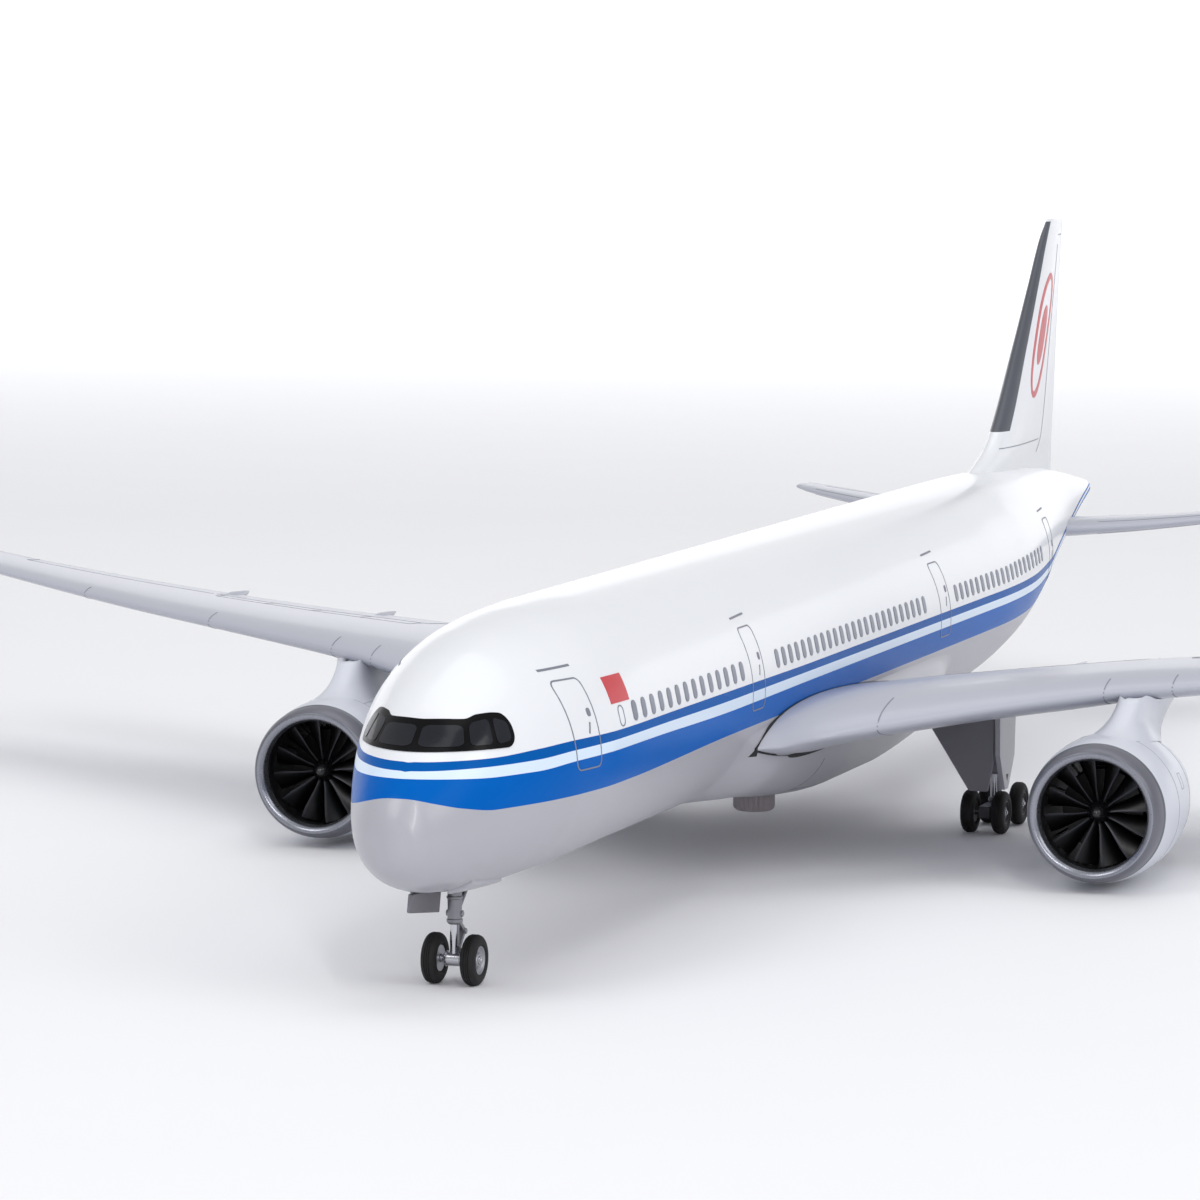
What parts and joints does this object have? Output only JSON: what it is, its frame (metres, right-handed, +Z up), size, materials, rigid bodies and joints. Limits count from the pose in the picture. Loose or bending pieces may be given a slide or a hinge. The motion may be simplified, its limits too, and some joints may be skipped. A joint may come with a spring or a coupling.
{
  "type": "desktop airliner model",
  "caption": "Wide-body twin-jet airliner scale model on its own wheels, with turning fans, rolling undercarriage and a plugged stand socket.",
  "frame": {"origin": "On the table plane, midway between the two wing tips and midway between the nose and the tail cone; the wheels stand on Z = 0.", "axes": "+Z up, -Y towards the nose, +X towards the left (port) wing tip."},
  "size_m": [0.4558, 0.4518, 0.1104],
  "materials": {
    "white_paint": "gloss white paint on moulded plastic, with a printed livery",
    "light_grey_paint": "satin-gloss pale grey paint",
    "cockpit_black": "gloss black print",
    "fan_black": "semi-gloss black",
    "silver": "silver paint",
    "core_metal": "dark metallic paint",
    "strut_grey": "satin grey paint",
    "bright_steel": "bright drawn steel",
    "hub": "satin grey paint",
    "tyre": "matt black rubber",
    "lead_grey": "bare cast ballast",
    "knob_grey": "matt grey plastic with fine ribs",
    "socket_grey": "matt grey plastic"
  },
  "bodies": {
    "airframe": {"belly_fairing": "light_grey_paint", "bogie_beam_left": "strut_grey", "bogie_beam_right": "strut_grey", "cockpit_glazing": "cockpit_black", "engine_core_left": "core_metal", "engine_core_right": "core_metal", "fin": "white_paint", "fuselage_left_half": "white_paint", "fuselage_right_half": "white_paint", "inlet_lip_left": "silver", "inlet_lip_right": "silver", "main_gear_door_left": "light_grey_paint", "main_gear_door_right": "light_grey_paint", "main_gear_leg_left": "strut_grey", "main_gear_leg_right": "strut_grey", "main_gear_plate_left": "light_grey_paint", "main_gear_plate_right": "light_grey_paint", "nacelle_left": "light_grey_paint", "nacelle_right": "light_grey_paint", "nose_gear_door_left": "light_grey_paint", "nose_gear_door_right": "light_grey_paint", "nose_gear_leg": "strut_grey", "nose_weight": "lead_grey", "pylon_left": "light_grey_paint", "pylon_right": "light_grey_paint", "stand_socket": "socket_grey", "tailplane_left": "light_grey_paint", "tailplane_right": "light_grey_paint", "wing_joiner": "bright_steel", "wing_left": "light_grey_paint", "wing_right": "light_grey_paint"},
    "nose_wheelset": {"nose_axle": "bright_steel", "nose_wheel_left_tyre": "tyre", "nose_wheel_right_tyre": "tyre", "nose_wheel_left_hub": "hub", "nose_wheel_right_hub": "hub"},
    "main_wheelset_front_left": {"main_axle_front_left": "bright_steel", "main_wheel_front_outer_left_tyre": "tyre", "main_wheel_front_outer_left_hub": "hub", "main_wheel_front_inner_left_tyre": "tyre", "main_wheel_front_inner_left_hub": "hub"},
    "main_wheelset_rear_left": {"main_axle_rear_left": "bright_steel", "main_wheel_rear_outer_left_tyre": "tyre", "main_wheel_rear_outer_left_hub": "hub", "main_wheel_rear_inner_left_tyre": "tyre", "main_wheel_rear_inner_left_hub": "hub"},
    "main_wheelset_front_right": {"main_axle_front_right": "bright_steel", "main_wheel_front_outer_right_tyre": "tyre", "main_wheel_front_outer_right_hub": "hub", "main_wheel_front_inner_right_tyre": "tyre", "main_wheel_front_inner_right_hub": "hub"},
    "main_wheelset_rear_right": {"main_axle_rear_right": "bright_steel", "main_wheel_rear_outer_right_tyre": "tyre", "main_wheel_rear_outer_right_hub": "hub", "main_wheel_rear_inner_right_tyre": "tyre", "main_wheel_rear_inner_right_hub": "hub"},
    "fan_rotor_left": {"fan_left": "fan_black"},
    "fan_rotor_right": {"fan_right": "fan_black"},
    "socket_plug": {"stand_plug": "knob_grey"}
  },
  "joints": [
    {"name": "nose_wheels_roll", "type": "hinge", "parent": "airframe", "child": "nose_wheelset", "pos_m": [0, -0.19792, 0.00409], "axis": [1, 0, 0], "continuous": true},
    {"name": "main_wheels_front_left_roll", "type": "hinge", "parent": "airframe", "child": "main_wheelset_front_left", "pos_m": [0.0375, -0.00658, 0.00409], "axis": [1, 0, 0], "continuous": true},
    {"name": "main_wheels_rear_left_roll", "type": "hinge", "parent": "airframe", "child": "main_wheelset_rear_left", "pos_m": [0.0375, 0.00694, 0.00409], "axis": [1, 0, 0], "continuous": true},
    {"name": "main_wheels_front_right_roll", "type": "hinge", "parent": "airframe", "child": "main_wheelset_front_right", "pos_m": [-0.0375, -0.00658, 0.00409], "axis": [1, 0, 0], "continuous": true},
    {"name": "main_wheels_rear_right_roll", "type": "hinge", "parent": "airframe", "child": "main_wheelset_rear_right", "pos_m": [-0.0375, 0.00694, 0.00409], "axis": [1, 0, 0], "continuous": true},
    {"name": "fan_left_spin", "type": "hinge", "parent": "airframe", "child": "fan_rotor_left", "pos_m": [0.07394, -0.07081, 0.01415], "axis": [0, 1, 0], "continuous": true},
    {"name": "fan_right_spin", "type": "hinge", "parent": "airframe", "child": "fan_rotor_right", "pos_m": [-0.07394, -0.07081, 0.01415], "axis": [0, 1, 0], "continuous": true},
    {"name": "stand_plug_pull", "type": "slide", "parent": "airframe", "child": "socket_plug", "axis": [0, 0, -1], "range_m": [0, 0.004]}
  ]
}
